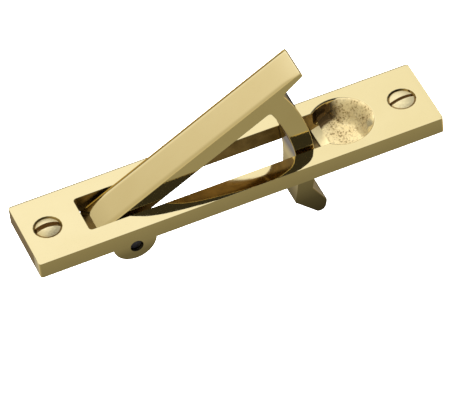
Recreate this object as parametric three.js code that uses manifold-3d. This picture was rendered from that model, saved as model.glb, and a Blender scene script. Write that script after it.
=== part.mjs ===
// Flush edge pull for a sliding door: a brass faceplate, a pivoting pull arm, its pin and two fixing screws.
// Millimetres. X runs along the plate towards the thumb recess, Y across it, Z out of the door.
// The origin is the centre of the plate's back face. The arm stands half open.
import * as THREE from "three";
import { mergeVertices } from "three/addons/utils/BufferGeometryUtils.js";
import Module from "manifold-3d";

const wasm = await Module();
wasm.setup();

// Faceplate
const PLATE_LENGTH = 125;
const PLATE_WIDTH = 25;
const PLATE_THICKNESS = 5.7;
const PLATE_CORNER_RADIUS = 0.8;
const PLATE_EDGE_ROUNDING = 0.15;
const THROUGH = 30; // reach of a cutter past everything it cuts
const SLOT_START_X = -44.7;
const SLOT_WIDTH = 13.3;
const SLOT_CORNER_RADIUS = 1;

// Thumb recess, a round cup that stands out behind the plate and opens into the slot
const RECESS_X = 36;
const RECESS_RADIUS = 9.15;
const RECESS_DEPTH = 5.8;
const RECESS_RIM_ROUNDING = 0.6;
const RECESS_FLOOR_FILLET = 2.2;
const CUP_RADIUS = 10.2;
const CUP_DEPTH = 2.3; // how far the cup stands out behind the plate
const CUP_DRAFT = 0.4;
const SLOT_RIDGE_X = 31.3; // where the recess floor ends at the slot
const RAMP_FOOT_X = 28.7; // the slanted wall at the slot's end runs from the ridge down to here
const RAMP_FOOT_Z = -1;
const LEDGE_X = 26.4; // the ledge below the ramp, which stops the opening arm's toe
const LEDGE_Z = -1.6;
const LEDGE_DEPTH = 5.2; // behind the plate
const LEDGE_CHEEK = 1;

// Hinge
const PIVOT_X = -33.4;
const PIVOT_Z = -0.9;
const LUG_X = -33.8;
const LUG_Z = 1.2;
const LUG_RADIUS = 6.7;
const PIN_RADIUS = 1.95;
const PIN_FIT = 0.02; // radial gap in the lugs
const PIN_RUNNING_CLEARANCE = 0.05; // radial gap in the arm
const PIN_RECESS = 1.1;

// Pull arm. Its outline is drawn closed, flush with the plate, and measured from the pivot.
const OPEN_ANGLE = THREE.MathUtils.degToRad(27.6);
const ARM_WIDTH = 11.5;
const ARM_TOP = PLATE_THICKNESS - PIVOT_Z;
const BAR_THICKNESS = 5.4;
const TIP_REACH = 67;
const TIP_THICKNESS = 1.75;
const TIP_ROUNDING = 0.5;
const LIP_ROOT_THICKNESS = 2.8;
const LIP_ROOT_FILLET = 1.2;
const LEG_FRONT_RADIUS = 52.7;
const LEG_BACK_CENTRE_X = 6; // the leg's back curves about a point in front of the pivot, so the leg tapers
const LEG_BACK_RADIUS = 53;
const WINDOW_FILLET = 1.2;
const TOE_RADIUS = 63.15;
const TOE_FRONT_ANGLE = THREE.MathUtils.degToRad(-42.5);
const TOE_HEEL_ANGLE = THREE.MathUtils.degToRad(-46.9);
const TOE_TIP_ANGLE = THREE.MathUtils.degToRad(-44.8);
const TOE_SHOULDER_ANGLE = THREE.MathUtils.degToRad(-41.5); // about the centre of the leg's back
const TOE_SLOPE_ANGLE = THREE.MathUtils.degToRad(-42.4);
const TOE_SLOPE_RADIUS = 62.3;
const TOE_HEEL_RADIUS = 60.8;
const KNUCKLE_RADIUS = 5.2;
const KNUCKLE_START_ANGLE = THREE.MathUtils.degToRad(220);
const HEEL_REACH = 8.4; // from the pivot back to the bar's square end
const HEEL_ROUNDING = 0.4;

// Raised countersunk wood screws. The left one has the higher crown and the wider driver slot.
const SCREW_X = 55;
const LEFT_SCREW = { crown: 1.4, slotWidth: 1.7, slotTurn: -4 };
const RIGHT_SCREW = { crown: 0.8, slotWidth: 1.1, slotTurn: 5 };
const SCREW_LENGTH = 16;
const HEAD_RADIUS = 3.8;
const COUNTERSINK_RADIUS = 4.25;
const SEAT_GAP = 0.05;
const SHANK_RADIUS = 2.05;
const SCREW_HOLE_RADIUS = 2.3;
const CORE_RADIUS = 1.45;
const THREAD_PITCH = 1.8;
const THREAD_FLANK_SHARE = 0.45; // half the thread's foot, as a share of half the pitch
const THREAD_STEPS = 5; // rings in each turn
const THREAD_START = 7.5; // below the head's rim
const POINT_LENGTH = 4;
const DRIVER_SLOT_FLOOR = -0.6; // from the head's rim

const WELD_DISTANCE = 1e-4;
const CURVE_SEGMENTS = 16;
const CORNER_SEGMENTS = 5;
const EDGE_SEGMENTS = 3;
const FLOOR_SEGMENTS = 5;
const DOME_RINGS = 5;
const ROUND_SIDES = 48;
const SCREW_SIDES = 20;

function material(color, roughness) {
  return new THREE.MeshStandardMaterial({ color, roughness, metalness: 1 });
}

// A closed geometry as a solid for joining and cutting.
function solid(geometry) {
  const bare = geometry.index ? geometry.toNonIndexed() : geometry.clone();
  bare.deleteAttribute("normal");
  bare.deleteAttribute("uv");
  const merged = mergeVertices(bare, WELD_DISTANCE);
  return new wasm.Manifold(
    new wasm.Mesh({
      numProp: 3,
      vertProperties: merged.attributes.position.array,
      triVerts: new Uint32Array(merged.index.array),
    }),
  );
}

function geometryOf(made) {
  const mesh = made.getMesh();
  const geometry = new THREE.BufferGeometry();
  geometry.setAttribute("position", new THREE.BufferAttribute(mesh.vertProperties, 3));
  geometry.setIndex(new THREE.BufferAttribute(mesh.triVerts, 1));
  const faceted = geometry.toNonIndexed();
  faceted.computeVertexNormals();
  return faceted;
}

function namedMesh(name, made, look) {
  const mesh = new THREE.Mesh(geometryOf(made), look);
  mesh.name = name;
  return mesh;
}

// A prism of an outline drawn in the XZ plane, reaching from y = low to y = high.
function prismAlongY(outline, low, high) {
  const geometry = new THREE.ExtrudeGeometry(outline, {
    depth: high - low,
    bevelEnabled: false,
    curveSegments: CURVE_SEGMENTS,
  });
  geometry.rotateX(Math.PI / 2);
  return solid(geometry.translate(0, high, 0));
}

// A turned body about the vertical axis through (x, 0). Its profile lists radius and height, bottom first.
function turned(profile, x, sides) {
  const points = profile.map(([radius, height]) => new THREE.Vector2(radius, height));
  return solid(new THREE.LatheGeometry(points, sides).rotateX(Math.PI / 2).translate(x, 0, 0));
}

function cylinderAlongY(radius, length) {
  const geometry = new THREE.CylinderGeometry(radius, radius, length, ROUND_SIDES);
  return solid(geometry.translate(PIVOT_X, 0, PIVOT_Z));
}

function roundedRectangle(left, right, halfWidth, radius) {
  const shape = new THREE.Shape();
  shape.absarc(right - radius, halfWidth - radius, radius, 0, Math.PI / 2);
  shape.absarc(left + radius, halfWidth - radius, radius, Math.PI / 2, Math.PI);
  shape.absarc(left + radius, radius - halfWidth, radius, Math.PI, 1.5 * Math.PI);
  shape.absarc(right - radius, radius - halfWidth, radius, 1.5 * Math.PI, 2 * Math.PI);
  return shape;
}

// Points of a quarter circle of a profile, as radius and height.
function quarterArc(radiusAt, heightAt, rounding, startAngle, steps) {
  return Array.from({ length: steps + 1 }, (_, i) => {
    const angle = startAngle + ((Math.PI / 2) * i) / steps;
    return [radiusAt + rounding * Math.cos(angle), heightAt + rounding * Math.sin(angle)];
  });
}

function plateBlank() {
  const inset = PLATE_EDGE_ROUNDING;
  const halfLength = PLATE_LENGTH / 2;
  const outline = roundedRectangle(-halfLength, halfLength, PLATE_WIDTH / 2, PLATE_CORNER_RADIUS);
  const geometry = new THREE.ExtrudeGeometry(outline, {
    depth: PLATE_THICKNESS - 2 * inset,
    bevelThickness: inset,
    bevelSize: inset,
    bevelOffset: -inset,
    bevelSegments: EDGE_SEGMENTS,
    curveSegments: CORNER_SEGMENTS,
  });
  return solid(geometry.translate(0, 0, inset));
}

function lugs() {
  const outline = new THREE.Shape();
  outline.absarc(LUG_X, LUG_Z, LUG_RADIUS, Math.PI, 2 * Math.PI);
  const inner = SLOT_WIDTH / 2;
  const outer = PLATE_WIDTH / 2;
  return prismAlongY(outline, inner, outer).add(prismAlongY(outline, -outer, -inner));
}

// A prism along Y with a rectangular side view, from the low corner to the high corner.
function blockAlongY([lowX, lowZ], [highX, highZ], halfWidth) {
  const outline = new THREE.Shape();
  outline.moveTo(lowX, lowZ);
  outline.lineTo(highX, lowZ);
  outline.lineTo(highX, highZ);
  outline.lineTo(lowX, highZ);
  return prismAlongY(outline, -halfWidth, halfWidth);
}

// The cup behind the recess, with the block that becomes the ledge and its two cheeks.
function cup() {
  const profile = [
    [0, -CUP_DEPTH],
    [CUP_RADIUS - CUP_DRAFT, -CUP_DEPTH],
    [CUP_RADIUS, PLATE_THICKNESS / 2],
    [0, PLATE_THICKNESS / 2],
  ];
  const low = [LEDGE_X - LEDGE_CHEEK, -LEDGE_DEPTH];
  const high = [SLOT_RIDGE_X, PLATE_THICKNESS / 2];
  return turned(profile, RECESS_X, ROUND_SIDES).add(blockAlongY(low, high, SLOT_WIDTH / 2 + LEDGE_CHEEK));
}

// The slot's plan is a rounded rectangle. Its side view ends in the ledge and the ramp up to the recess.
function slotCutter() {
  const plan = roundedRectangle(SLOT_START_X, RECESS_X, SLOT_WIDTH / 2, SLOT_CORNER_RADIUS);
  const column = new THREE.ExtrudeGeometry(plan, {
    depth: 2 * THROUGH,
    bevelEnabled: false,
    curveSegments: CORNER_SEGMENTS,
  });
  const side = new THREE.Shape();
  side.moveTo(-PLATE_LENGTH / 2, -THROUGH);
  side.lineTo(LEDGE_X, -THROUGH);
  side.lineTo(LEDGE_X, LEDGE_Z);
  side.lineTo(RAMP_FOOT_X, LEDGE_Z);
  side.lineTo(RAMP_FOOT_X, RAMP_FOOT_Z);
  side.lineTo(SLOT_RIDGE_X, PLATE_THICKNESS - RECESS_DEPTH);
  side.lineTo(SLOT_RIDGE_X, THROUGH);
  side.lineTo(-PLATE_LENGTH / 2, THROUGH);
  return solid(column.translate(0, 0, -THROUGH)).intersect(prismAlongY(side, -SLOT_WIDTH, SLOT_WIDTH));
}

function recessCutter() {
  const floor = PLATE_THICKNESS - RECESS_DEPTH;
  const filletRadius = RECESS_RADIUS - RECESS_FLOOR_FILLET;
  const filletHeight = floor + RECESS_FLOOR_FILLET;
  const mouthRadius = RECESS_RADIUS + RECESS_RIM_ROUNDING;
  const rimHeight = PLATE_THICKNESS - RECESS_RIM_ROUNDING;
  const rim = quarterArc(mouthRadius, rimHeight, RECESS_RIM_ROUNDING, Math.PI / 2, EDGE_SEGMENTS);
  const profile = [
    [0, floor],
    ...quarterArc(filletRadius, filletHeight, RECESS_FLOOR_FILLET, -Math.PI / 2, FLOOR_SEGMENTS),
    ...rim.reverse(),
    [mouthRadius, THROUGH],
    [0, THROUGH],
  ];
  return turned(profile, RECESS_X, ROUND_SIDES);
}

function screwHoleCutter(x) {
  const seat = COUNTERSINK_RADIUS - SCREW_HOLE_RADIUS;
  const profile = [
    [0, -THROUGH],
    [SCREW_HOLE_RADIUS, -THROUGH],
    [SCREW_HOLE_RADIUS, PLATE_THICKNESS - seat],
    [COUNTERSINK_RADIUS, PLATE_THICKNESS],
    [COUNTERSINK_RADIUS, THROUGH],
    [0, THROUGH],
  ];
  return turned(profile, x, SCREW_SIDES);
}

function faceplate() {
  return plateBlank()
    .add(lugs())
    .add(cup())
    .subtract(slotCutter())
    .subtract(recessCutter())
    .subtract(screwHoleCutter(-SCREW_X))
    .subtract(screwHoleCutter(SCREW_X))
    .subtract(cylinderAlongY(PIN_RADIUS + PIN_FIT, 2 * PLATE_WIDTH));
}

const polar = (radius, angle) => [radius * Math.cos(angle), radius * Math.sin(angle)];

// The leg's back, from the toe's shoulder up round the fillet under the lip.
function addLegBack(outline) {
  const lipBottom = ARM_TOP - LIP_ROOT_THICKNESS;
  const endAngle = Math.asin((lipBottom - LIP_ROOT_FILLET) / LEG_BACK_RADIUS);
  const endX = LEG_BACK_CENTRE_X + LEG_BACK_RADIUS * Math.cos(endAngle);
  outline.absarc(LEG_BACK_CENTRE_X, 0, LEG_BACK_RADIUS, TOE_SHOULDER_ANGLE, endAngle);
  outline.quadraticCurveTo(endX, lipBottom, endX + LIP_ROOT_FILLET, lipBottom);
}

// The lip, drawn from its root out to the tip and round it to the flat top.
function addLip(outline) {
  const tipBottom = ARM_TOP - TIP_THICKNESS;
  outline.lineTo(TIP_REACH - TIP_ROUNDING, tipBottom);
  outline.quadraticCurveTo(TIP_REACH, tipBottom, TIP_REACH, tipBottom + TIP_ROUNDING);
  outline.lineTo(TIP_REACH, ARM_TOP - TIP_ROUNDING);
  outline.quadraticCurveTo(TIP_REACH, ARM_TOP, TIP_REACH - TIP_ROUNDING, ARM_TOP);
}

// The toe, from the leg's front edge round the heel and tip to the foot of the sloping shoulder.
function addToe(outline) {
  outline.lineTo(...polar(TOE_HEEL_RADIUS, TOE_HEEL_ANGLE));
  outline.quadraticCurveTo(...polar(TOE_RADIUS, TOE_HEEL_ANGLE), ...polar(TOE_RADIUS, TOE_TIP_ANGLE));
  const slopeFoot = polar(TOE_SLOPE_RADIUS, TOE_SLOPE_ANGLE);
  outline.quadraticCurveTo(...polar(TOE_RADIUS, TOE_SLOPE_ANGLE), ...slopeFoot);
}

function armOutline() {
  const barBottom = ARM_TOP - BAR_THICKNESS;
  const windowX = Math.sqrt(LEG_FRONT_RADIUS ** 2 - barBottom ** 2);
  const windowAngle = Math.asin((barBottom - WINDOW_FILLET) / LEG_FRONT_RADIUS);
  const outline = new THREE.Shape();
  outline.moveTo(HEEL_ROUNDING - HEEL_REACH, ARM_TOP);
  outline.quadraticCurveTo(-HEEL_REACH, ARM_TOP, -HEEL_REACH, ARM_TOP - HEEL_ROUNDING);
  outline.lineTo(-HEEL_REACH, 0);
  outline.absarc(0, 0, KNUCKLE_RADIUS, KNUCKLE_START_ANGLE, 2 * Math.PI);
  outline.quadraticCurveTo(KNUCKLE_RADIUS, barBottom, 2 * KNUCKLE_RADIUS, barBottom);
  outline.lineTo(windowX - WINDOW_FILLET, barBottom);
  outline.quadraticCurveTo(windowX, barBottom, ...polar(LEG_FRONT_RADIUS, windowAngle));
  outline.absarc(0, 0, LEG_FRONT_RADIUS, windowAngle, TOE_FRONT_ANGLE, true);
  addToe(outline);
  addLegBack(outline);
  addLip(outline);
  return outline;
}

function pullArm() {
  const halfWidth = ARM_WIDTH / 2;
  const bar = prismAlongY(armOutline(), -halfWidth, halfWidth);
  const bore = cylinderAlongY(PIN_RADIUS + PIN_RUNNING_CLEARANCE, PLATE_WIDTH);
  return bar.subtract(bore.translate([-PIVOT_X, 0, -PIVOT_Z]));
}

// A closed surface of rings about the vertical axis, closed at both ends by a point on the axis.
function ringStack(bottom, rings, top, sides) {
  const positions = [0, 0, bottom];
  for (const { height, radiusAt } of rings) {
    for (let i = 0; i < sides; i++) {
      const angle = (2 * Math.PI * i) / sides;
      const radius = radiusAt(angle);
      positions.push(radius * Math.cos(angle), radius * Math.sin(angle), height);
    }
  }
  positions.push(0, 0, top);
  const last = positions.length / 3 - 1;
  const faces = [];
  for (let i = 0; i < sides; i++) {
    const next = (i + 1) % sides;
    faces.push(0, 1 + next, 1 + i);
    faces.push(last, last - sides + i, last - sides + next);
    for (let ring = 0; ring < rings.length - 1; ring++) {
      const low = 1 + ring * sides;
      const high = low + sides;
      faces.push(low + i, low + next, high + next, low + i, high + next, high + i);
    }
  }
  const geometry = new THREE.BufferGeometry();
  geometry.setAttribute("position", new THREE.BufferAttribute(new Float32Array(positions), 3));
  geometry.setIndex(faces);
  return geometry;
}

// Rings of the tapering thread, from the point up to the plain shank. Heights are below the head's rim.
function threadRings() {
  const length = SCREW_LENGTH - THREAD_START;
  const count = Math.round((length / THREAD_PITCH) * THREAD_STEPS);
  return Array.from({ length: count }, (_, i) => {
    const fromPoint = (length * (i + 1)) / (count + 1);
    const taper = Math.min(1, fromPoint / POINT_LENGTH);
    const radiusAt = (angle) => {
      const turn = fromPoint / THREAD_PITCH - angle / (2 * Math.PI);
      const phase = Math.abs(2 * (turn - Math.floor(turn)) - 1);
      const crest = Math.max(0, 1 - phase / THREAD_FLANK_SHARE);
      return taper * (CORE_RADIUS + (SHANK_RADIUS - CORE_RADIUS) * crest);
    };
    return { height: fromPoint - SCREW_LENGTH, radiusAt };
  });
}

const plainRing = (height, radius) => ({ height, radiusAt: () => radius });

// Rings of the head's raised top, from just above its rim to just below its crown.
function domeRings(crown) {
  const sphereRadius = (HEAD_RADIUS ** 2 + crown ** 2) / (2 * crown);
  const rimAngle = Math.asin(HEAD_RADIUS / sphereRadius);
  return Array.from({ length: DOME_RINGS - 1 }, (_, i) => {
    const angle = rimAngle * (1 - (i + 1) / DOME_RINGS);
    return plainRing(sphereRadius * (Math.cos(angle) - Math.cos(rimAngle)), sphereRadius * Math.sin(angle));
  });
}

function screw(x, { crown, slotWidth, slotTurn }) {
  const rings = [
    ...threadRings(),
    plainRing(-THREAD_START, SHANK_RADIUS),
    plainRing(SHANK_RADIUS - HEAD_RADIUS, SHANK_RADIUS),
    plainRing(0, HEAD_RADIUS),
    ...domeRings(crown),
  ];
  const body = solid(ringStack(-SCREW_LENGTH, rings, crown, SCREW_SIDES));
  const slot = new THREE.BoxGeometry(3 * HEAD_RADIUS, slotWidth, 2 * THROUGH);
  slot.translate(0, 0, DRIVER_SLOT_FLOOR + THROUGH);
  const rim = PLATE_THICKNESS - (COUNTERSINK_RADIUS - SEAT_GAP - HEAD_RADIUS);
  return body.subtract(solid(slot)).rotate([0, 0, slotTurn]).translate([x, 0, rim]);
}

const castBrass = () => material(0xe8cd7c, 0.12);
const screwBrass = () => material(0xd9cba0, 0.3);
const pinSteel = () => material(0x23242a, 0.45);

const edgePull = new THREE.Group();
edgePull.add(namedMesh("faceplate", faceplate(), castBrass()));
edgePull.add(namedMesh("pivot_pin", cylinderAlongY(PIN_RADIUS, PLATE_WIDTH - 2 * PIN_RECESS), pinSteel()));
edgePull.add(namedMesh("screw_left", screw(-SCREW_X, LEFT_SCREW), screwBrass()));
edgePull.add(namedMesh("screw_right", screw(SCREW_X, RIGHT_SCREW), screwBrass()));

const hinge = new THREE.Group();
hinge.position.set(PIVOT_X, 0, PIVOT_Z);
hinge.rotation.y = -OPEN_ANGLE;
hinge.add(namedMesh("pull_arm", pullArm(), castBrass()));
edgePull.add(hinge);

export default edgePull;
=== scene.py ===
"""Looks of the flush edge pull: polished brass castings, a rough recess, slotted screws and a steel pin."""

import math

import bmesh
import bpy
from mathutils import Matrix, Vector, noise


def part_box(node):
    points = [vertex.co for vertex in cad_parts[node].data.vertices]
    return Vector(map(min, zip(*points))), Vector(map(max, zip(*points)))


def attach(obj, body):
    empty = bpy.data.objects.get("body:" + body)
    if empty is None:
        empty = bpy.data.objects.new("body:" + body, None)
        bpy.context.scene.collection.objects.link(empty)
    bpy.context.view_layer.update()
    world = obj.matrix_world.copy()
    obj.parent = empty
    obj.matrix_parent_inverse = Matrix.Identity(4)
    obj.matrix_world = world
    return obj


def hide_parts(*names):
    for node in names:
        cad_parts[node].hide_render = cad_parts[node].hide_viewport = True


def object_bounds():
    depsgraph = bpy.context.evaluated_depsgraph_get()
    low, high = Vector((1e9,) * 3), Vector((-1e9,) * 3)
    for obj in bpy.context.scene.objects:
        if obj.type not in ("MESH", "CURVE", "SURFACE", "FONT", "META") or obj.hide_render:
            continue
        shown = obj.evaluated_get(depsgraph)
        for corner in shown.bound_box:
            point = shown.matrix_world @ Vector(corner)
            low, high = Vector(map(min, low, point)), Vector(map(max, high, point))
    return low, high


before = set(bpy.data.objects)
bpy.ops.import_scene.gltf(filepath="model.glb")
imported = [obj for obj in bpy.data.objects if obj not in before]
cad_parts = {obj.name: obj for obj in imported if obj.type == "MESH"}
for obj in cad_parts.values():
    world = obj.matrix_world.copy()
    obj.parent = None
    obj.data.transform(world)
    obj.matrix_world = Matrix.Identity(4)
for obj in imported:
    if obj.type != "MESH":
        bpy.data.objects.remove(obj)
CAD_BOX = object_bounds()

MM = 0.001
WELD = 0.002 * MM
FLAT_ANGLE = math.radians(0.4)
SHARP_ANGLE = math.radians(40)
FLATS_WEIGHT = 100
ROUND_PROFILE = 0.5
DUB_STATIONS = 7  # cuts parallel to the edge, in the strip that a dub bends

# Cosines between a face's normal and a direction, for telling which way the face looks
FACING = 0.9
PARTLY_FACING = 0.5
BARELY_FACING = 0.3

# Plate
PLATE_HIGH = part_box("faceplate")[1]
PLATE_TOP = PLATE_HIGH.z
HALF_WIDTH = PLATE_HIGH.y
EDGE_ROUNDING = 0.15 * MM
SLOT_HALF_WIDTH = 6.65 * MM
RIM_BEVEL = 0.16 * MM
RIM_SEGMENTS = 3
PLATE_DUB = {"width": 2.0 * MM, "slope": math.radians(10)}  # buffing has worn the near side down
FAR_DUB = {"width": 0.45 * MM, "slope": math.radians(40)}

# Recess and the ramp from it down into the slot
RECESS_X = 36 * MM
RECESS_RADIUS = 9.15 * MM
RECESS_FLOOR = -0.1 * MM
RECESS_FILLET = 2.4 * MM
STEEP_RIM = PLATE_TOP - 0.6 * MM
SOFT_RIM = PLATE_TOP - 0.08 * MM
SOFT_RIM_RADIUS = 9.75 * MM
SOFT_FLOOR_RADIUS = 3.6 * MM
RIDGE_X = 31.3 * MM
RAMP_FOOT_X = 28.7 * MM
SKIN_GAP = 0.02 * MM
SKIN_THICKNESS = 0.3 * MM
SKIN_RINGS = 60
SKIN_SPOKES = 200
FLOOR_SHARE = 0.4  # of the skin's rings lie on the floor
FILLET_SHARE = 0.35  # and this many in the fillet round it
CAST_ROUGHNESS = 0.1 * MM
WAVE_SIZE = 2.6 * MM
LUMP_SIZE = 0.9 * MM
LUMP_WEIGHT = 0.7
GRIT_SIZE = 0.4 * MM
GRIT_WEIGHT = 0.5
SOFT_BEGINS = (-60, -10)  # degrees from +X over which the steep wall turns into the gentle slope
SOFT_ENDS = (70, 100)
POLISH_ENDS = (-20, -8)  # degrees from +X over which the buffed wall turns into rough skin
POLISH_BEGINS = (78, 92)
POLISHED_WALL = (0.72, 0.84)  # shares of the recess radius
# Where the steep wall by the slot gets painted shade and dirt: degrees from +X, then shares of the recess
# radius
DARK_WALL_BEGINS = (72, 92)
DARK_WALL_SHARES = (0.68, 0.78)
CALM_RINGS = (0.85, 1)  # shares of the rings over which the lumps die away at the rim

# Arm
ARM_BEVEL = 0.25 * MM
ARM_SEGMENTS = 4
HEEL_ROUNDING = 0.4 * MM
OPEN_ANGLE = math.radians(27.6)
TIP_DUB = {"width": 3.0 * MM, "slope": math.radians(5)}
ARM_NEAR_DUB = {"width": 0.85 * MM, "slope": math.radians(18)}
ARM_FAR_DUB = {"width": 0.9 * MM, "slope": math.radians(40)}

# Screws and pin
HEAD_RADIUS = 3.8 * MM
CLEAN_RADIUS = 3.5 * MM
COUNTERSINK_RADIUS = 4.25 * MM
SCREW_X = 55 * MM
SEAT_GAP = 0.05 * MM
SHANK_RADIUS = 2.05 * MM
SCREW_RIM = PLATE_TOP - (COUNTERSINK_RADIUS - SEAT_GAP - HEAD_RADIUS)
DRIVER_SLOT_FLOOR = -0.6 * MM
HEAD_EDGE = 0.12 * MM
SCREWS = {
    "screw_left": {"slot_width": 1.7 * MM, "turn": math.radians(-4)},
    "screw_right": {"slot_width": 1.1 * MM, "turn": math.radians(5)},
}
SCREW_SIDES = 72
DOME_STEPS = 14
THREAD_PITCH = 1.8 * MM
THREAD_START = 7.5 * MM
POINT_LENGTH = 4 * MM
CORE_RADIUS = 1.45 * MM
THREAD_STEPS = 12
CREST_SHARE = 0.45  # of the half pitch on each side of a crest
SHANK_LEAD = 0.6 * MM  # from the last thread up to the plain shank
PIN_ROUNDING = 0.3 * MM
PIN_SEGMENTS = 3

# Camera and stage
CAMERA_AZIMUTH = math.radians(-17.98)
CAMERA_ELEVATION = math.radians(46.16)
CAMERA_ROLL = math.radians(-6.84)
CAMERA_SHIFT = Vector((0.01, -10.75)) * MM
CAMERA_DISTANCE = 1212 * MM
SENSOR_WIDTH = 36
CAMERA_LENS = 337.7
FLOOR_RADIUS = 1.6
FLOOR_SIDES = 96
FLOOR_DROP = 0.3 * MM
LAMP_SIZE = 1.6
LAMP_HEIGHT = 1.2
LAMP_ENERGY = 60


# Mesh helpers


def linked(name, mesh):
    piece = bpy.data.objects.new(name, mesh)
    bpy.context.scene.collection.objects.link(piece)
    return piece


def new_piece(name, bm):
    """A piece made of a finished bmesh, with its faces turned outwards."""
    bmesh.ops.recalc_face_normals(bm, faces=bm.faces)
    mesh = bpy.data.meshes.new(name)
    bm.to_mesh(mesh)
    bm.free()
    return linked(name, mesh)


def smooth_with_flats(piece):
    """Smooth shading in which the large flat faces stay flat right up to their rounded edges."""
    mesh = piece.data
    mesh.shade_smooth()
    mesh.set_sharp_from_angle(angle=SHARP_ANGLE)
    weighted = piece.modifiers.new("weighted", "WEIGHTED_NORMAL")
    weighted.mode = "FACE_AREA"
    weighted.weight = FLATS_WEIGHT
    weighted.keep_sharp = True


def cad_bmesh(node):
    """A copy of a CAD node's mesh with its triangles merged back into flat faces."""
    bm = bmesh.new()
    bm.from_mesh(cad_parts[node].data)
    bmesh.ops.remove_doubles(bm, verts=bm.verts, dist=WELD)
    bmesh.ops.dissolve_limit(bm, angle_limit=FLAT_ANGLE, verts=bm.verts, edges=bm.edges)
    return bm


def round_edges(bm, width, segments, chosen=lambda edge: True):
    """Rounds the sharp edges that the test accepts."""
    edges = [
        edge
        for edge in bm.edges
        if edge.is_manifold and edge.calc_face_angle() > SHARP_ANGLE and chosen(edge)
    ]
    bmesh.ops.bevel(
        bm,
        geom=edges,
        offset=width,
        offset_type="OFFSET",
        segments=segments,
        profile=ROUND_PROFILE,
        affect="EDGES",
        clamp_overlap=False,
    )


def dub(bm, edge, inward, up, depth, width, slope):
    """Buffs an edge down: the surface within a depth of it falls away smoothly towards it."""
    for station in range(DUB_STATIONS):
        point = edge + inward * (EDGE_ROUNDING + 2 * width * station / (DUB_STATIONS - 1))
        geometry = bm.verts[:] + bm.edges[:] + bm.faces[:]
        bmesh.ops.bisect_plane(bm, geom=geometry, dist=WELD, plane_co=point, plane_no=inward)
    full_drop = slope * width * math.sqrt(math.pi) / 2
    for vert in bm.verts:
        offset = vert.co - edge
        if offset.dot(up) > -depth:
            vert.co -= up * full_drop * (1 - math.erf(max(0, offset.dot(inward)) / width))


def paint(piece, name, value_of):
    """Stores a number on each face, for the material to read."""
    values = [value_of(face) for face in piece.data.polygons]
    piece.data.attributes.new(name, "FLOAT", "FACE").data.foreach_set("value", values)


def stands_for(piece, node, body):
    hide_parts(node)
    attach(piece, body)


def apply_modifiers(piece):
    depsgraph = bpy.context.evaluated_depsgraph_get()
    mesh = bpy.data.meshes.new_from_object(piece.evaluated_get(depsgraph))
    piece.modifiers.clear()
    piece.data = mesh


def cut_away(piece, cutter):
    """Cuts one mesh object out of another and removes the cutter."""
    cut = piece.modifiers.new("cut", "BOOLEAN")
    cut.operation = "DIFFERENCE"
    cut.solver = "EXACT"
    cut.object = cutter
    apply_modifiers(piece)
    bpy.data.objects.remove(cutter)


def box_object(low, high):
    bm = bmesh.new()
    size = high - low
    placing = Matrix.Translation((low + high) / 2) @ Matrix.Diagonal((*size, 1))
    bmesh.ops.create_cube(bm, size=1, matrix=placing)
    return new_piece("cutter", bm)


def ring_stack(rings, spokes):
    """A closed mesh of rings. Each ring is a function of the angle; the first and last are single points."""
    bm = bmesh.new()
    angles = [2 * math.pi * i / spokes for i in range(spokes)]
    first = bm.verts.new(rings[0](0))
    last = bm.verts.new(rings[-1](0))
    loops = [[bm.verts.new(ring(angle)) for angle in angles] for ring in rings[1:-1]]
    for i in range(spokes):
        j = (i + 1) % spokes
        bm.faces.new((first, loops[0][i], loops[0][j]))
        bm.faces.new((last, loops[-1][j], loops[-1][i]))
        for low, high in zip(loops, loops[1:]):
            bm.faces.new((low[i], high[i], high[j], low[j]))
    return bm


# Plate


def is_inner_edge(edge):
    """True away from the plate's outer sides, which are rounded already."""
    return all(
        abs(v.co.y) < HALF_WIDTH - EDGE_ROUNDING and abs(v.co.x) < PLATE_HIGH.x - EDGE_ROUNDING
        for v in edge.verts
    )


def in_slot(face):
    """True on the casting's surfaces inside the slot, apart from the rim's bevel."""
    inside = abs(face.center.y) < SLOT_HALF_WIDTH + WELD
    return inside and face.center.x < RIDGE_X and face.center.z < PLATE_TOP - RIM_BEVEL


def in_screw_hole(face):
    return any(
        math.hypot(face.center.x - side * SCREW_X, face.center.y) < COUNTERSINK_RADIUS for side in (-1, 1)
    )


def in_recess_corner(face):
    """True on the ends of the recess's wall, between the ridge and the slot, which get painted shade."""
    x, y, z = face.center
    beside = SLOT_HALF_WIDTH < abs(y) < RECESS_RADIUS and RECESS_X - RECESS_RADIUS < x < RIDGE_X
    return beside and z < PLATE_TOP - RIM_BEVEL and abs(face.normal.z) < PARTLY_FACING


def is_ramp(face):
    return in_slot(face) and face.center.x > RAMP_FOOT_X and face.normal.z > PARTLY_FACING


def is_cast_on_plate(face):
    """True on the unpolished back and inside the slot, apart from the ramp."""
    return face.normal.z < -PARTLY_FACING or (in_slot(face) and not is_ramp(face))


def make_faceplate():
    bm = cad_bmesh("faceplate")
    round_edges(bm, RIM_BEVEL, RIM_SEGMENTS, is_inner_edge)
    for side, wear in ((-1, PLATE_DUB), (1, FAR_DUB)):
        edge = Vector((0, side * HALF_WIDTH, PLATE_TOP))
        dub(bm, edge, Vector((0, -side, 0)), Vector((0, 0, 1)), EDGE_ROUNDING, **wear)
    piece = new_piece("faceplate_casting", bm)
    smooth_with_flats(piece)
    paint(piece, "cast", is_cast_on_plate)
    paint(piece, "recess_corner_shade", in_recess_corner)
    # Painted shade on the ends of the recess's wall beside the slot
    paint(piece, "pale", is_ramp)
    # Painted shade and grime in the countersinks round the screw heads
    paint(piece, "shade_and_grime", lambda face: in_screw_hole(face) and face.normal.z < FACING)
    # Painted shade on the plate's long sides
    paint(piece, "painted_side_shade", lambda face: abs(face.normal.y) > FACING)
    stands_for(piece, "faceplate", "plate")
    return piece


# Recess


def ease(low, high, value):
    """0 below low, 1 above high and a smooth step between."""
    share = min(1, max(0, (value - low) / (high - low)))
    return share * share * (3 - 2 * share)


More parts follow.
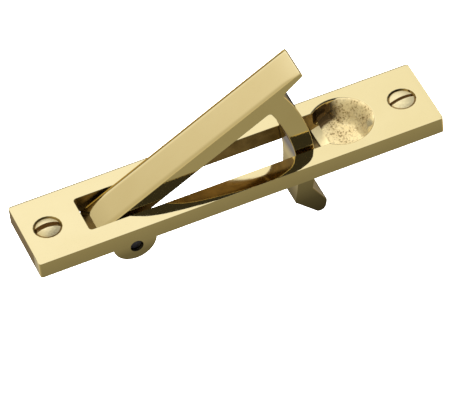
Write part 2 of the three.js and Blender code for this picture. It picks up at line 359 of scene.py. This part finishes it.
def cast_unevenness(point):
    """Height of the sand-cast surface at a point: broad waves, lumps and fine grit."""
    waves = noise.noise(point / WAVE_SIZE)
    lumps = noise.noise(point / LUMP_SIZE)
    grit = noise.noise(point / GRIT_SIZE)
    return CAST_ROUGHNESS * abs(waves + LUMP_WEIGHT * lumps + GRIT_WEIGHT * grit)


def softness(degrees):
    """1 where the recess slopes gently up to its rim, 0 where its wall is steep. Measured from +X."""
    return ease(*SOFT_BEGINS, degrees) * (1 - ease(*SOFT_ENDS, degrees))


def polish(degrees, radius):
    """1 on the parts of the recess wall that the buffing wheel reached, 0 on the rough skin."""
    steep = ease(*POLISH_BEGINS, degrees) + 1 - ease(*POLISH_ENDS, degrees)
    return min(1, steep) * ease(*POLISHED_WALL, radius / RECESS_RADIUS)


def compass(x, y):
    """Degrees from +X, from -90 up to 270, so that the steep sides come first and last."""
    return (math.degrees(math.atan2(y, x)) + 90) % 360 - 90


def steep_section(share):
    """Radius and height along a flat floor, a quarter-round fillet and an upright wall."""
    floor = min(1, share / FLOOR_SHARE) * (RECESS_RADIUS - RECESS_FILLET)
    turn = min(1, max(0, (share - FLOOR_SHARE) / FILLET_SHARE)) * math.pi / 2
    rise = max(0, (share - FLOOR_SHARE - FILLET_SHARE) / (1 - FLOOR_SHARE - FILLET_SHARE))
    wall = rise * (STEEP_RIM - RECESS_FLOOR - RECESS_FILLET)
    return floor + RECESS_FILLET * math.sin(turn), RECESS_FILLET * (1 - math.cos(turn)) + wall


def soft_section(share):
    """Radius and height along a small floor and a gentle slope that levels out at the rim."""
    climb = max(0, (share - FLOOR_SHARE) / (1 - FLOOR_SHARE))
    floor = min(1, share / FLOOR_SHARE) * SOFT_FLOOR_RADIUS
    height = (SOFT_RIM - RECESS_FLOOR) * (1 - math.cos(math.pi * climb)) / 2
    return floor + climb * (SOFT_RIM_RADIUS - SOFT_FLOOR_RADIUS), height


def skin_ring(share):
    """One ring of the recess skin, as a function of the angle."""

    def at(angle):
        outward = Vector((math.cos(angle), math.sin(angle), 0))
        degrees = compass(outward.x, outward.y)
        soft = softness(degrees)
        sections = zip(steep_section(share), soft_section(share))
        radius, height = (steep + soft * (gentle - steep) for steep, gentle in sections)
        point = Vector((RECESS_X, 0, RECESS_FLOOR + SKIN_GAP + height)) + outward * (radius - SKIN_GAP)
        unpolished = 1 - polish(degrees, radius)
        rough = cast_unevenness(point) * unpolished * (1 - ease(*CALM_RINGS, share))
        return point + Vector((0, 0, rough)) - outward * rough * ease(FLOOR_SHARE, 1, share)

    return at


def make_recess_skin():
    """The cast skin of the thumb recess, a dish with real lumps, cut off at the slot's ridge."""
    bottom = RECESS_FLOOR - SKIN_THICKNESS
    buried = RECESS_RADIUS + SKIN_THICKNESS
    rings = [skin_ring(i / SKIN_RINGS) for i in range(SKIN_RINGS + 1)]
    rings.append(lambda a: Vector((RECESS_X + buried * math.cos(a), buried * math.sin(a), bottom)))
    rings.append(lambda a: Vector((RECESS_X, 0, bottom)))
    bm = ring_stack(rings, SKIN_SPOKES)
    geometry = bm.verts[:] + bm.edges[:] + bm.faces[:]
    ridge = Vector((RIDGE_X, 0, 0))
    cut = bmesh.ops.bisect_plane(bm, geom=geometry, plane_co=ridge, plane_no=(1, 0, 0), clear_inner=True)
    rim = [item for item in cut["geom_cut"] if isinstance(item, bmesh.types.BMEdge)]
    bmesh.ops.edgeloop_fill(bm, edges=rim)
    piece = new_piece("recess_skin", bm)
    piece.data.shade_smooth()
    piece.data.set_sharp_from_angle(angle=SHARP_ANGLE)
    paint(piece, "cast", skin_roughness)
    # Painted shade and dirt on the steep wall by the slot
    paint(piece, "shade_and_grime", skin_shade_and_dirt)
    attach(piece, "plate")
    return piece


def skin_roughness(face):
    across = face.center.xy - Vector((RECESS_X, 0))
    return 1 - polish(compass(*across), across.length)


def skin_shade_and_dirt(face):
    """1 on the steep wall by the slot, which gets painted shade and dirt."""
    across = face.center.xy - Vector((RECESS_X, 0))
    return ease(*DARK_WALL_BEGINS, compass(*across)) * ease(*DARK_WALL_SHARES, across.length / RECESS_RADIUS)


# Arm


def reaches_past_heel(edge, along, heel):
    """False on the edges of the bar's square end, which stay as the CAD has them."""
    return any(v.co.dot(along) > heel + WELD for v in edge.verts)


def is_cast_on_arm(normal, along, up):
    """True where a face looks down or back, out of the buffing wheel's reach."""
    polished = normal.dot(up) >= BARELY_FACING or normal.dot(along) >= BARELY_FACING
    return not polished and abs(normal.y) < PARTLY_FACING


def make_arm():
    along = Vector((math.cos(OPEN_ANGLE), 0, math.sin(OPEN_ANGLE)))
    up = Vector((-along.z, 0, along.x))
    bm = cad_bmesh("pull_arm")
    tip = up * max(v.co.dot(up) for v in bm.verts) + along * max(v.co.dot(along) for v in bm.verts)
    heel = min(v.co.dot(along) for v in bm.verts) + HEEL_ROUNDING
    round_edges(bm, ARM_BEVEL, ARM_SEGMENTS, lambda edge: reaches_past_heel(edge, along, heel))
    half_width = max(v.co.y for v in bm.verts)
    dub(bm, tip, -along, up, ARM_BEVEL, **TIP_DUB)
    for side, wear in ((-1, ARM_NEAR_DUB), (1, ARM_FAR_DUB)):
        long_edge = tip + Vector((0, side * half_width, 0))
        dub(bm, long_edge, Vector((0, -side, 0)), up, ARM_BEVEL, **wear)
    piece = new_piece("arm_casting", bm)
    smooth_with_flats(piece)
    paint(piece, "cast", lambda face: is_cast_on_arm(face.normal, along, up))
    stands_for(piece, "pull_arm", "arm")
    return piece


# Screws and pin


def thread_rings(tip):
    """Rings of the tapering thread, from just above the point up to the plain shank."""
    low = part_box("screw_left")[0]
    length = PLATE_TOP - THREAD_START - low.z
    count = round(length / THREAD_PITCH * THREAD_STEPS)

    def ring(rise):
        taper = min(1, rise / POINT_LENGTH)

        def at(angle):
            turn = rise / THREAD_PITCH - angle / (2 * math.pi)
            phase = abs(2 * (turn - math.floor(turn)) - 1)
            crest = max(0, 1 - phase / CREST_SHARE)
            radius = taper * (CORE_RADIUS + (SHANK_RADIUS - CORE_RADIUS) * crest)
            return tip + Vector((radius * math.cos(angle), radius * math.sin(angle), rise))

        return at

    return [ring(length * (i + 1) / (count + 1)) for i in range(count)]


def gets_shade_and_grime(point, slot_width, turn):
    """True in the driver slot and on the head's outer rim, which get painted shade and grime."""
    across = abs(point.y * math.cos(turn) - point.x * math.sin(turn))
    return across < slot_width / 2 + WELD or point.xy.length > CLEAN_RADIUS


def make_screw(node, slot_width, turn):
    low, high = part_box(node)
    centre = (low + high) / 2
    axis = Vector((centre.x, 0, 0))
    crown = high.z - SCREW_RIM
    sphere = (HEAD_RADIUS**2 + crown**2) / (2 * crown)
    rim_angle = math.asin(HEAD_RADIUS / sphere)

    def ring(radius, height):
        return lambda a: axis + Vector((radius * math.cos(a), radius * math.sin(a), height))

    dome = [
        ring(sphere * math.sin(a), SCREW_RIM + sphere * (math.cos(a) - math.cos(rim_angle)))
        for a in (rim_angle * (1 - i / DOME_STEPS) for i in range(1, DOME_STEPS))
    ]
    head = [
        ring(SHANK_RADIUS, PLATE_TOP - THREAD_START + SHANK_LEAD),
        ring(SHANK_RADIUS, SCREW_RIM - HEAD_RADIUS + SHANK_RADIUS),
        ring(HEAD_RADIUS - HEAD_EDGE, SCREW_RIM - HEAD_EDGE),
        ring(HEAD_RADIUS, SCREW_RIM),
    ]
    tip = axis + Vector((0, 0, low.z))
    rings = [lambda a: tip, *thread_rings(tip), *head, *dome, ring(0, high.z)]
    piece = new_piece(node + "_turned", ring_stack(rings, SCREW_SIDES))
    reach = Vector((2 * HEAD_RADIUS, slot_width / 2, 0))
    slot_floor = Vector((0, 0, SCREW_RIM + DRIVER_SLOT_FLOOR))
    above_head = Vector((0, 0, 2 * high.z))
    cutter = box_object(slot_floor - reach, above_head + reach)
    cutter.matrix_world = Matrix.Translation(axis) @ Matrix.Rotation(turn, 4, "Z")
    bpy.context.view_layer.update()
    cut_away(piece, cutter)
    smooth_with_flats(piece)
    # Painted shade and grime in the driver slot and on the head's rim
    paint(piece, "shade_and_grime", lambda face: gets_shade_and_grime(face.center - axis, slot_width, turn))
    stands_for(piece, node, "plate")
    return piece


def make_pin():
    bm = cad_bmesh("pivot_pin")
    round_edges(bm, PIN_ROUNDING, PIN_SEGMENTS)
    piece = new_piece("pin_turned", bm)
    smooth_with_flats(piece)
    stands_for(piece, "pivot_pin", "plate")
    return piece


# Materials


def grey(level):
    return (level, level, level)


class Nodes:
    """Short calls for building one material's node tree."""

    def __init__(self, tree):
        self.tree = tree

    def add(self, kind, **settings):
        node = self.tree.nodes.new(kind)
        for name, value in settings.items():
            setattr(node, name, value)
        return node

    def link(self, source, target):
        self.tree.links.new(source, target)

    def noise(self, scale, detail, stretch=(1, 1, 1)):
        place = self.add("ShaderNodeTexCoord").outputs["Object"]
        mapping = self.add("ShaderNodeMapping")
        mapping.inputs["Scale"].default_value = stretch
        texture = self.add("ShaderNodeTexNoise")
        texture.inputs["Scale"].default_value = scale
        texture.inputs["Detail"].default_value = detail
        self.link(place, mapping.inputs["Vector"])
        self.link(mapping.outputs["Vector"], texture.inputs["Vector"])
        return texture.outputs["Fac"]

    def attribute(self, name):
        return self.add("ShaderNodeAttribute", attribute_name=name).outputs["Fac"]

    def ramp(self, value, *stops):
        """A colour ramp; each stop is a position and a colour or grey level."""
        ramp = self.add("ShaderNodeValToRGB")
        elements = ramp.color_ramp.elements
        while len(elements) < len(stops):
            elements.new(0.5)
        for element, (position, colour) in zip(elements, stops):
            element.position = position
            element.color = (*colour, 1) if isinstance(colour, tuple) else (colour,) * 3 + (1,)
        self.link(value, ramp.inputs["Fac"])
        return ramp.outputs["Color"]

    def mix(self, factor, first, second):
        mix = self.add("ShaderNodeMix", data_type="RGBA")
        self.put(factor, mix.inputs["Factor"])
        self.put(first, mix.inputs["A"])
        self.put(second, mix.inputs["B"])
        return mix.outputs["Result"]

    def put(self, value, socket):
        if isinstance(value, bpy.types.NodeSocket):
            self.link(value, socket)
        elif isinstance(value, tuple):
            socket.default_value = (*value, 1)
        else:
            socket.default_value = value

    def math(self, operation, first, second):
        node = self.add("ShaderNodeMath", operation=operation)
        self.put(first, node.inputs[0])
        self.put(second, node.inputs[1])
        return node.outputs["Value"]

    def bump(self, height, distance):
        bump = self.add("ShaderNodeBump")
        bump.inputs["Distance"].default_value = distance
        self.link(height, bump.inputs["Height"])
        return bump.outputs["Normal"]


def new_material(name):
    """A material with an empty Principled shader, and the calls to fill it."""
    material = bpy.data.materials.new(name)
    material.use_nodes = True
    shader = material.node_tree.nodes["Principled BSDF"]
    return material, Nodes(material.node_tree), shader


def give(piece, material):
    piece.data.materials.clear()
    piece.data.materials.append(material)


BRASS = (0.88, 0.76, 0.44)
BRASS_TARNISHED = (0.8, 0.66, 0.34)
# Colour of the painted shade and grime in the screw holes
BRASS_SHADE_AND_GRIME = (0.38, 0.28, 0.1)
# Colour of the painted shade and dirt in the recess
RECESS_SHADE_AND_DIRT = (0.09, 0.055, 0.02)
# Dark colour of the painted shade
PAINTED_SHADE_COLOUR = (0.03, 0.022, 0.01)
CAST_SKIN = ((0.24, 0.16, 0.06), (0.4, 0.28, 0.12))
CAST_SHEEN = 0.4
RAMP_BRASS = ((0.92, 0.8, 0.46), (0.78, 0.65, 0.34))
RAMP_SHEEN = 0.3
RAMP_METALNESS = 0.78
RECESS_FLOOR_BRASS = ((0.86, 0.73, 0.41), (0.56, 0.42, 0.2))
RECESS_DIRT = (0.22, 0.14, 0.05)
BUFFED_SHEEN = 0.1
GRITTY_SHEEN = 0.45
SCREW_METAL = ((0.74, 0.64, 0.37), (0.88, 0.78, 0.5))
# Colours of the painted shade and grime on the screws
SCREW_SHADE_AND_GRIME = ((0.3, 0.19, 0.07), (0.5, 0.35, 0.15))
PIN_METAL = ((0.012, 0.012, 0.018), (0.06, 0.06, 0.08))
PAPER_LEVELS = (0.9, 0.93)
CLOUD_SHARE = 0.3
SCRATCH_DEPTH = 0.001 * MM
SAND_DEPTH = 0.02 * MM
GRIT_DEPTH = 0.04 * MM
SCREW_GRAIN_DEPTH = 0.003 * MM
PIN_GRAIN_DEPTH = 0.01 * MM
# Painted shade: light levels by height in mm, darkening the castings towards the bottom and the leg's foot
PAINTED_LIGHT_BY_HEIGHT = ((-20, 0.09), (-15, 0.17), (-10, 0.35), (-3, 0.52), (0, 0.84), (5, 1.0))
# Share of painted shade on the plate's long sides
SIDE_SHADE_SHARE = 0.17
SHADE_RAMP_LOW = -22
SHADE_RAMP_HIGH = 8


def painted_shade_by_height(nodes):
    """1 high on the castings, falling towards the bottom and the leg's foot: painted shade, a light level
    mixed into the base colour.
    """
    split = nodes.add("ShaderNodeSeparateXYZ")
    nodes.link(nodes.add("ShaderNodeTexCoord").outputs["Object"], split.inputs["Vector"])
    place = nodes.add("ShaderNodeMapRange")
    nodes.link(split.outputs["Z"], place.inputs["Value"])
    place.inputs["From Min"].default_value = SHADE_RAMP_LOW * MM
    place.inputs["From Max"].default_value = SHADE_RAMP_HIGH * MM
    reach = SHADE_RAMP_HIGH - SHADE_RAMP_LOW
    stops = [((height - SHADE_RAMP_LOW) / reach, level) for height, level in PAINTED_LIGHT_BY_HEIGHT]
    return nodes.ramp(place.outputs["Result"], *stops)


def casting_brass():
    """Mirror-polished brass, with the dark cast skin and pale ramp where the faces say so, and painted
    shade: darker towards the bottom, on the plate's long sides and in the recess's corners, with grime in
    the screw holes.
    """
    material, nodes, shader = new_material("casting_brass")
    cast, pale, shade_and_grime, painted_side_shade, recess_corner_shade = map(nodes.attribute, ("cast", "pale", "shade_and_grime", "painted_side_shade", "recess_corner_shade"))
    cloud = nodes.math("MULTIPLY", nodes.ramp(nodes.noise(90, 4), (0.35, 0.0), (0.75, 1.0)), CLOUD_SHARE)
    # Painted shade: the polished brass darkens towards the bottom and the leg's foot
    polished = nodes.mix(painted_shade_by_height(nodes), PAINTED_SHADE_COLOUR, nodes.mix(cloud, BRASS, BRASS_TARNISHED))
    # Painted shade: the plate's long sides darkened
    polished = nodes.mix(nodes.math("MULTIPLY", painted_side_shade, SIDE_SHADE_SHARE), polished, PAINTED_SHADE_COLOUR)
    blotches = nodes.ramp(nodes.noise(260, 5), (0.35, 0.0), (0.7, 1.0))
    skin = nodes.mix(blotches, *CAST_SKIN)
    colour = nodes.mix(cast, polished, skin)
    colour = nodes.mix(pale, colour, nodes.mix(blotches, *RAMP_BRASS))
    # Painted shade and grime in the screw holes, and painted shade on the recess's corners
    colour = nodes.mix(recess_corner_shade, nodes.mix(shade_and_grime, colour, BRASS_SHADE_AND_GRIME), RECESS_SHADE_AND_DIRT)
    nodes.link(colour, shader.inputs["Base Color"])
    smears = nodes.ramp(nodes.noise(260, 5, (0.25, 1, 1)), (0.4, 0.05), (0.8, 0.12))
    roughness = nodes.mix(cast, smears, grey(CAST_SHEEN))
    nodes.link(nodes.mix(pale, roughness, grey(RAMP_SHEEN)), shader.inputs["Roughness"])
    lines = nodes.math("MULTIPLY", nodes.noise(2600, 2, (0.06, 1, 1)), SCRATCH_DEPTH)
    sand = nodes.math("MULTIPLY", nodes.noise(1500, 6), SAND_DEPTH)
    height = nodes.math("ADD", lines, nodes.math("MULTIPLY", sand, cast))
    nodes.link(nodes.bump(height, 1.0), shader.inputs["Normal"])
    nodes.link(nodes.mix(pale, grey(1), grey(RAMP_METALNESS)), shader.inputs["Metallic"])
    return material


def recess_brass():
    """The pale gritty floor of the recess, with dirt in its pits, and its buffed wall."""
    material, nodes, shader = new_material("recess_brass")
    cast, shade_and_grime = (nodes.attribute(name) for name in ("cast", "shade_and_grime"))
    specks = nodes.ramp(nodes.noise(1500, 4), (0.5, 0.0), (0.62, 1.0))
    patches = nodes.ramp(nodes.noise(240, 4), (0.44, 0.3), (0.58, 1.0))
    dirt = nodes.math("MULTIPLY", specks, patches)
    pale = nodes.mix(nodes.math("MULTIPLY", patches, 0.5), *RECESS_FLOOR_BRASS)
    rough = nodes.mix(dirt, pale, RECESS_DIRT)
    colour = nodes.mix(cast, BRASS, rough)
    # Painted shade and dirt on the steep wall by the slot
    nodes.link(nodes.mix(shade_and_grime, colour, RECESS_SHADE_AND_DIRT), shader.inputs["Base Color"])
    roughness = nodes.mix(cast, grey(BUFFED_SHEEN), grey(GRITTY_SHEEN))
    nodes.link(roughness, shader.inputs["Roughness"])
    grit = nodes.math("MULTIPLY", nodes.noise(1800, 6), GRIT_DEPTH)
    nodes.link(nodes.bump(nodes.math("MULTIPLY", grit, cast), 1.0), shader.inputs["Normal"])
    shader.inputs["Metallic"].default_value = 0.8
    return material


def screw_brass():
    material, nodes, shader = new_material("turned_brass")
    grain = nodes.noise(1200, 5)
    metal = nodes.mix(grain, *SCREW_METAL)
    shade_and_grime = nodes.mix(grain, *SCREW_SHADE_AND_GRIME)
    # Painted shade and grime in the driver slot and on the head's rim
    nodes.link(nodes.mix(nodes.attribute("shade_and_grime"), metal, shade_and_grime), shader.inputs["Base Color"])
    nodes.link(nodes.ramp(grain, (0.3, 0.36), (0.8, 0.48)), shader.inputs["Roughness"])
    nodes.link(nodes.bump(nodes.noise(2500, 3), SCREW_GRAIN_DEPTH), shader.inputs["Normal"])
    shader.inputs["Metallic"].default_value = 0.9
    return material


def pin_steel():
    material, nodes, shader = new_material("oiled_steel")
    stain = nodes.noise(700, 5)
    nodes.link(nodes.mix(stain, *PIN_METAL), shader.inputs["Base Color"])
    nodes.link(nodes.ramp(stain, (0.3, 0.3), (0.8, 0.55)), shader.inputs["Roughness"])
    nodes.link(nodes.bump(nodes.noise(2500, 3), PIN_GRAIN_DEPTH), shader.inputs["Normal"])
    shader.inputs["Metallic"].default_value = 0.8
    return material


# Stage


def make_camera():
    camera = bpy.data.objects.new("camera", bpy.data.cameras.new("camera"))
    bpy.context.scene.collection.objects.link(camera)
    camera.data.sensor_width = SENSOR_WIDTH
    camera.data.lens = CAMERA_LENS
    turn = (
        Matrix.Rotation(CAMERA_AZIMUTH, 4, "Z")
        @ Matrix.Rotation(math.pi / 2 - CAMERA_ELEVATION, 4, "X")
        @ Matrix.Rotation(CAMERA_ROLL, 4, "Z")
    )
    back_off = turn @ Vector((*CAMERA_SHIFT, CAMERA_DISTANCE))
    camera.matrix_world = Matrix.Translation(Vector((0, 0, PLATE_TOP)) + back_off) @ turn
    bpy.context.scene.camera = camera


def make_floor():
    bm = bmesh.new()
    bmesh.ops.create_circle(bm, cap_ends=True, segments=FLOOR_SIDES, radius=FLOOR_RADIUS)
    floor = new_piece("floor", bm)
    floor.location.z = CAD_BOX[0].z - FLOOR_DROP
    floor.visible_glossy = False
    material, nodes, shader = new_material("white_paper")
    fibres = nodes.noise(400, 4)
    nodes.link(nodes.mix(fibres, *map(grey, PAPER_LEVELS)), shader.inputs["Base Color"])
    shader.inputs["Roughness"].default_value = 1
    shader.inputs["Specular IOR Level"].default_value = 0
    give(floor, material)


def make_lamp():
    """A large soft light over the floor, which the polished metal doesn't mirror."""
    lamp = bpy.data.lights.new("overhead", "AREA")
    lamp.shape = "DISK"
    lamp.size = LAMP_SIZE
    lamp.energy = LAMP_ENERGY
    lamp.use_shadow = False
    holder = bpy.data.objects.new("overhead", lamp)
    holder.location = (0, 0, LAMP_HEIGHT)
    holder.visible_glossy = False
    bpy.context.scene.collection.objects.link(holder)


# The studio's colours. Stops lie along its width, from -1 at the left to 1 at the right
LILAC = (0.2, 0.19, 0.21)
WALL_STOPS = (
    (-0.62, (0.5, 0.44, 0.3)),
    (-0.5, (0.58, 0.53, 0.4)),
    (-0.44, (0.79, 0.74, 0.63)),
    (-0.2, (0.98, 0.96, 0.92)),
    (0.18, 1.0),
    (0.27, (0.92, 0.9, 0.82)),
    (0.6, 0.3),
)
VIEWER_STOPS = (
    (-0.65, (0.8, 0.72, 0.5)),
    (-0.4, (0.32, 0.28, 0.18)),
    (-0.1, 0.12),
    (0.1, 0.03),
    (0.8, 0.06),
)
DEEP_STOPS = ((-0.25, (0.6, 0.53, 0.36)), (-0.1, LILAC), (0.06, LILAC), (0.14, 0.04))
TABLE_WARM = (0.31, 0.28, 0.18)
CORNER_WARM = (0.6, 0.48, 0.28)
BEHIND_LEVEL = 0.05
BACKDROP_LEVEL = 0.96
STUDIO_STRENGTH = 1.1


def make_studio():
    """The surroundings that the brass mirrors: bright behind, warm and dim below, dark by the viewer."""
    world = bpy.data.worlds.new("studio")
    bpy.context.scene.world = world
    world.use_nodes = True
    nodes = Nodes(world.node_tree)
    background = world.node_tree.nodes["Background"]
    split = nodes.add("ShaderNodeSeparateXYZ")
    nodes.link(nodes.add("ShaderNodeTexCoord").outputs["Generated"], split.inputs["Vector"])
    side, depth, height = (split.outputs[axis] for axis in "XYZ")

    def bands(value, *stops):
        """Brightness along a direction that runs from -1 to 1."""
        scaled = nodes.math("MULTIPLY_ADD", value, 0.5)
        scaled.node.inputs[2].default_value = 0.5
        return nodes.ramp(scaled, *[((at + 1) / 2, level) for at, level in stops])

    wall = bands(side, *WALL_STOPS)
    viewer = bands(side, *VIEWER_STOPS)
    upper = nodes.mix(bands(depth, (-0.15, 0.0), (0.35, 1.0)), viewer, wall)
    deep = bands(side, *DEEP_STOPS)
    behind = nodes.mix(bands(height, (-0.65, 0.0), (-0.3, 1.0)), deep, grey(BEHIND_LEVEL))
    lower = nodes.mix(bands(depth, (-0.2, 0.0), (0.4, 1.0)), TABLE_WARM, behind)
    lower = nodes.mix(bands(side, (0.4, 0.0), (0.6, 1.0)), lower, CORNER_WARM)
    mirrored = nodes.mix(bands(height, (0.06, 0.0), (0.22, 1.0)), lower, upper)
    seen = nodes.add("ShaderNodeLightPath").outputs["Is Camera Ray"]
    nodes.link(nodes.mix(seen, mirrored, grey(BACKDROP_LEVEL)), background.inputs["Color"])
    background.inputs["Strength"].default_value = STUDIO_STRENGTH


brass = casting_brass()
give(make_faceplate(), brass)
give(make_arm(), brass)
give(make_recess_skin(), recess_brass())
screw_metal = screw_brass()
for node_name, shape in SCREWS.items():
    give(make_screw(node_name, **shape), screw_metal)
give(make_pin(), pin_steel())
make_camera()
make_floor()
make_lamp()
make_studio()
bpy.context.scene.view_settings.view_transform = "Standard"
